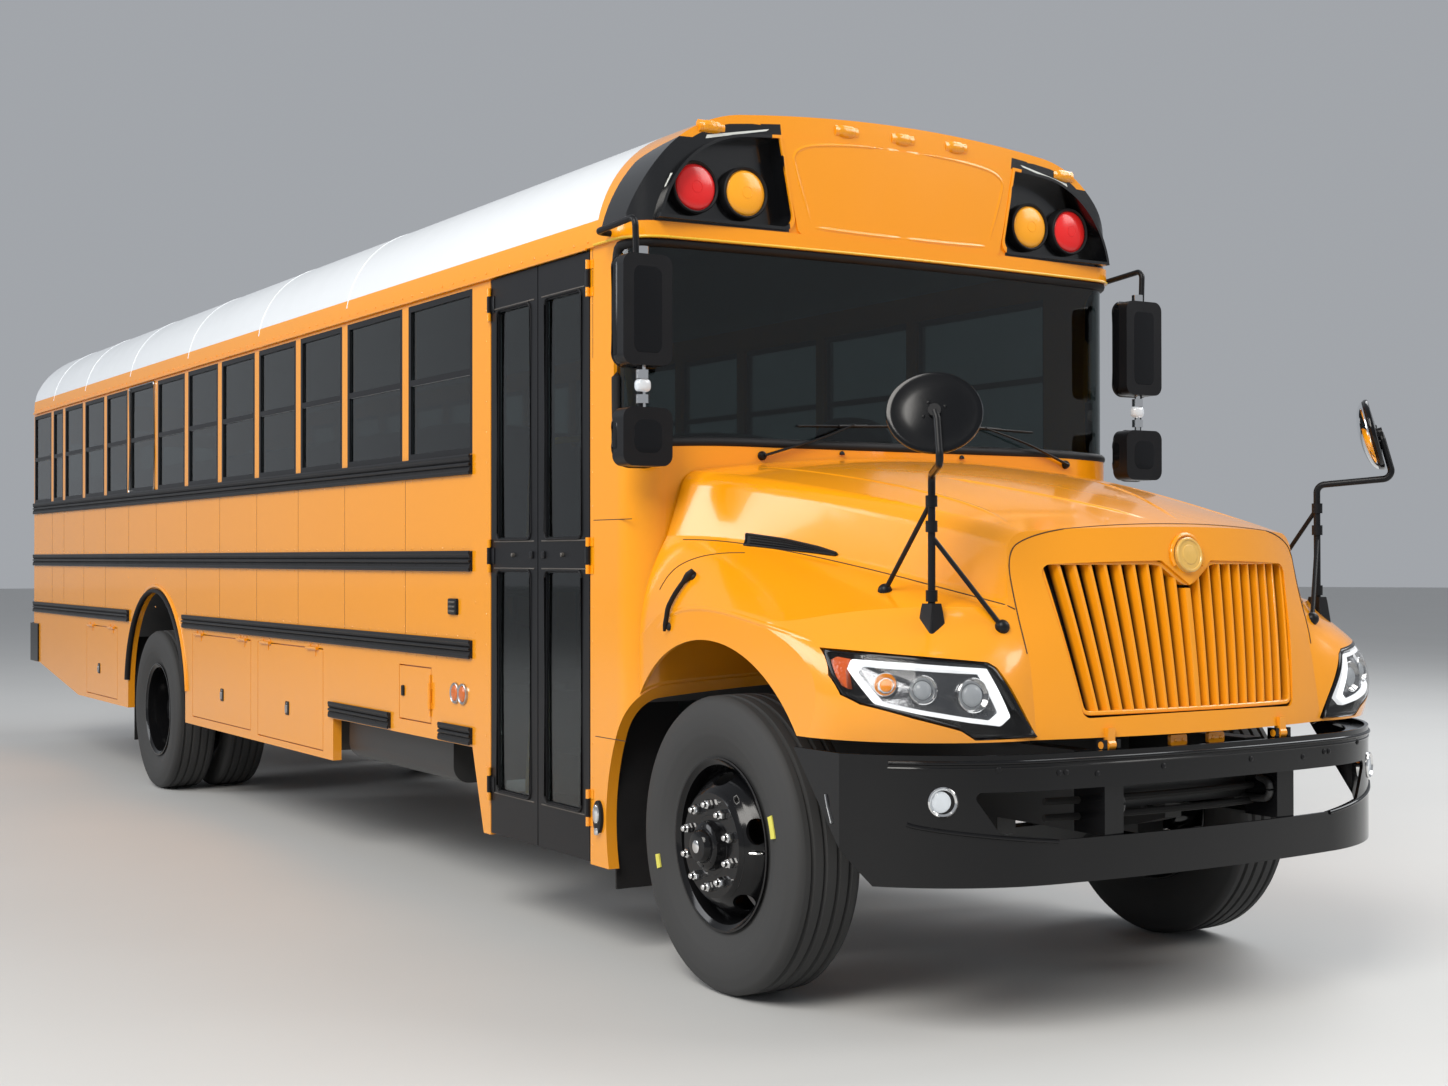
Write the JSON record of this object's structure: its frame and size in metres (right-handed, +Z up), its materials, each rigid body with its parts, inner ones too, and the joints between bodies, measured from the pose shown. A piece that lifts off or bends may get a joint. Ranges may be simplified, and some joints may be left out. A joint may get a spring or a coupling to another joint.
{
  "type": "school bus",
  "caption": "Full-size school bus with a tilting hood, split entrance door, rear emergency door, luggage lockers and steered front wheels.",
  "frame": {"origin": "on the road under the middle of the bus, halfway along and across", "axes": "+X forward, +Y to the driver's left, +Z up"},
  "size_m": [12.1, 2.663, 3.2497],
  "materials": {
    "body_yellow": "gloss",
    "roof_white": "gloss",
    "black_paint": "gloss",
    "chassis_black": "satin",
    "bare_steel": "worn",
    "radiator_metal": "matte",
    "floor_rubber": "matte",
    "tyre_rubber": "matte",
    "clear_glass": "gloss",
    "headlamp_lens": "gloss",
    "red_lens": "gloss",
    "amber_lens": "gloss",
    "seat_vinyl": "satin",
    "dash_plastic": "matte"
  },
  "bodies": {
    "chassis": {"frame_rails": "chassis_black", "front_axle": "chassis_black", "rear_axle": "chassis_black", "leaf_springs": "chassis_black", "engine": "chassis_black", "radiator": "radiator_metal", "fuel_tank": "chassis_black", "exhaust": "bare_steel", "floor": "floor_rubber", "floor_sills": "chassis_black", "right_wall": "body_yellow", "left_wall": "body_yellow", "rear_wall": "body_yellow", "roof": "roof_white", "front_cap": "body_yellow", "cowl": "body_yellow", "window_frames": "black_paint", "window_glass": "clear_glass", "front_bumper": "black_paint", "rear_bumper": "black_paint", "side_mirrors": "black_paint", "red_lamps": "red_lens", "amber_lamps": "amber_lens", "rub_rails": "black_paint", "mud_flaps": "floor_rubber", "seats": "seat_vinyl", "driver_seat": "seat_vinyl", "dashboard": "dash_plastic", "luggage_boxes": "bare_steel"},
    "hood": {"hood": "body_yellow", "grille": "body_yellow", "headlamps": "headlamp_lens", "hood_mirrors": "black_paint"},
    "door_front": {"door_front_leaf": "black_paint", "door_front_glass": "clear_glass"},
    "door_rear": {"door_rear_leaf": "black_paint", "door_rear_glass": "clear_glass"},
    "emergency_door": {"rear_door": "body_yellow", "rear_door_glass": "clear_glass"},
    "luggage_front": {"luggage_door_front": "body_yellow"},
    "luggage_middle": {"luggage_door_middle": "body_yellow"},
    "luggage_rear": {"luggage_door_rear": "body_yellow"},
    "fuel_flap": {"fuel_door": "body_yellow"},
    "stop_sign_arm": {"stop_arm": "red_lens"},
    "steering": {"steering_wheel": "dash_plastic"},
    "knuckle_left": {"knuckle_left": "chassis_black"},
    "knuckle_right": {"knuckle_right": "chassis_black"},
    "wheel_front_left": {"tyre_front_left": "tyre_rubber", "wheel_front_left": "black_paint"},
    "wheel_front_right": {"tyre_front_right": "tyre_rubber", "wheel_front_right": "black_paint"},
    "wheels_rear_left": {"tyres_rear_left": "tyre_rubber", "wheels_rear_left": "black_paint"},
    "wheels_rear_right": {"tyres_rear_right": "tyre_rubber", "wheels_rear_right": "black_paint"}
  },
  "joints": [
    {"name": "hood_tilt", "type": "hinge", "parent": "chassis", "child": "hood", "pos_m": [6, 0, 0.925], "axis": [0, 1, 0], "range_deg": [0, 65]},
    {"name": "door_front_swing", "type": "hinge", "parent": "chassis", "child": "door_front", "pos_m": [4.005, -1.213, 1.53], "axis": [0, 0, 1], "range_deg": [0, 85]},
    {"name": "door_rear_swing", "type": "hinge", "parent": "chassis", "child": "door_rear", "pos_m": [3.102, -1.213, 1.53], "axis": [0, 0, -1], "range_deg": [0, 85]},
    {"name": "emergency_door_swing", "type": "hinge", "parent": "chassis", "child": "emergency_door", "pos_m": [-5.93, -0.472, 1.8], "axis": [0, 0, 1], "range_deg": [0, 100]},
    {"name": "luggage_front_swing", "type": "hinge", "parent": "chassis", "child": "luggage_front", "pos_m": [0.5095, -1.213, 1.049], "axis": [-1, 0, 0], "range_deg": [0, 90]},
    {"name": "luggage_middle_swing", "type": "hinge", "parent": "chassis", "child": "luggage_middle", "pos_m": [-0.727, -1.213, 1.051], "axis": [-1, 0, 0], "range_deg": [0, 90]},
    {"name": "luggage_rear_swing", "type": "hinge", "parent": "chassis", "child": "luggage_rear", "pos_m": [-3.6, -1.213, 1.027], "axis": [-1, 0, 0], "range_deg": [0, 90]},
    {"name": "fuel_flap_swing", "type": "hinge", "parent": "chassis", "child": "fuel_flap", "pos_m": [2.458, -1.213, 0.894], "axis": [0, 0, 1], "range_deg": [0, 100]},
    {"name": "stop_arm_swing", "type": "hinge", "parent": "chassis", "child": "stop_sign_arm", "pos_m": [3.73, 1.213, 1.72], "axis": [0, 0, -1], "range_deg": [0, 90]},
    {"name": "steer_left", "type": "hinge", "parent": "chassis", "child": "knuckle_left", "pos_m": [4.85, 0.845, 0.521], "axis": [0, 0, 1], "range_deg": [-38, 38]},
    {"name": "steer_right", "type": "hinge", "parent": "chassis", "child": "knuckle_right", "pos_m": [4.85, -0.845, 0.521], "axis": [0, 0, 1], "range_deg": [-38, 38]},
    {"name": "steering_wheel_turn", "type": "hinge", "parent": "chassis", "child": "steering", "pos_m": [3.808, 0.62, 1.79], "axis": [-0.7507, 0, 0.6606], "range_deg": [-650, 650]},
    {"name": "wheel_front_left_spin", "type": "hinge", "parent": "knuckle_left", "child": "wheel_front_left", "pos_m": [4.85, 1.025, 0.521], "axis": [0, 1, 0], "continuous": true},
    {"name": "wheels_rear_left_spin", "type": "hinge", "parent": "chassis", "child": "wheels_rear_left", "pos_m": [-2.16, 0.9055, 0.521], "axis": [0, 1, 0], "continuous": true},
    {"name": "wheel_front_right_spin", "type": "hinge", "parent": "knuckle_right", "child": "wheel_front_right", "pos_m": [4.85, -1.025, 0.521], "axis": [0, 1, 0], "continuous": true},
    {"name": "wheels_rear_right_spin", "type": "hinge", "parent": "chassis", "child": "wheels_rear_right", "pos_m": [-2.16, -0.9055, 0.521], "axis": [0, 1, 0], "continuous": true}
  ],
  "couplings": [
    {"joint": "door_rear_swing", "follows": "door_front_swing", "ratio": 1},
    {"joint": "steer_right", "follows": "steer_left", "ratio": 1},
    {"joint": "steering_wheel_turn", "follows": "steer_left", "ratio": 17}
  ]
}
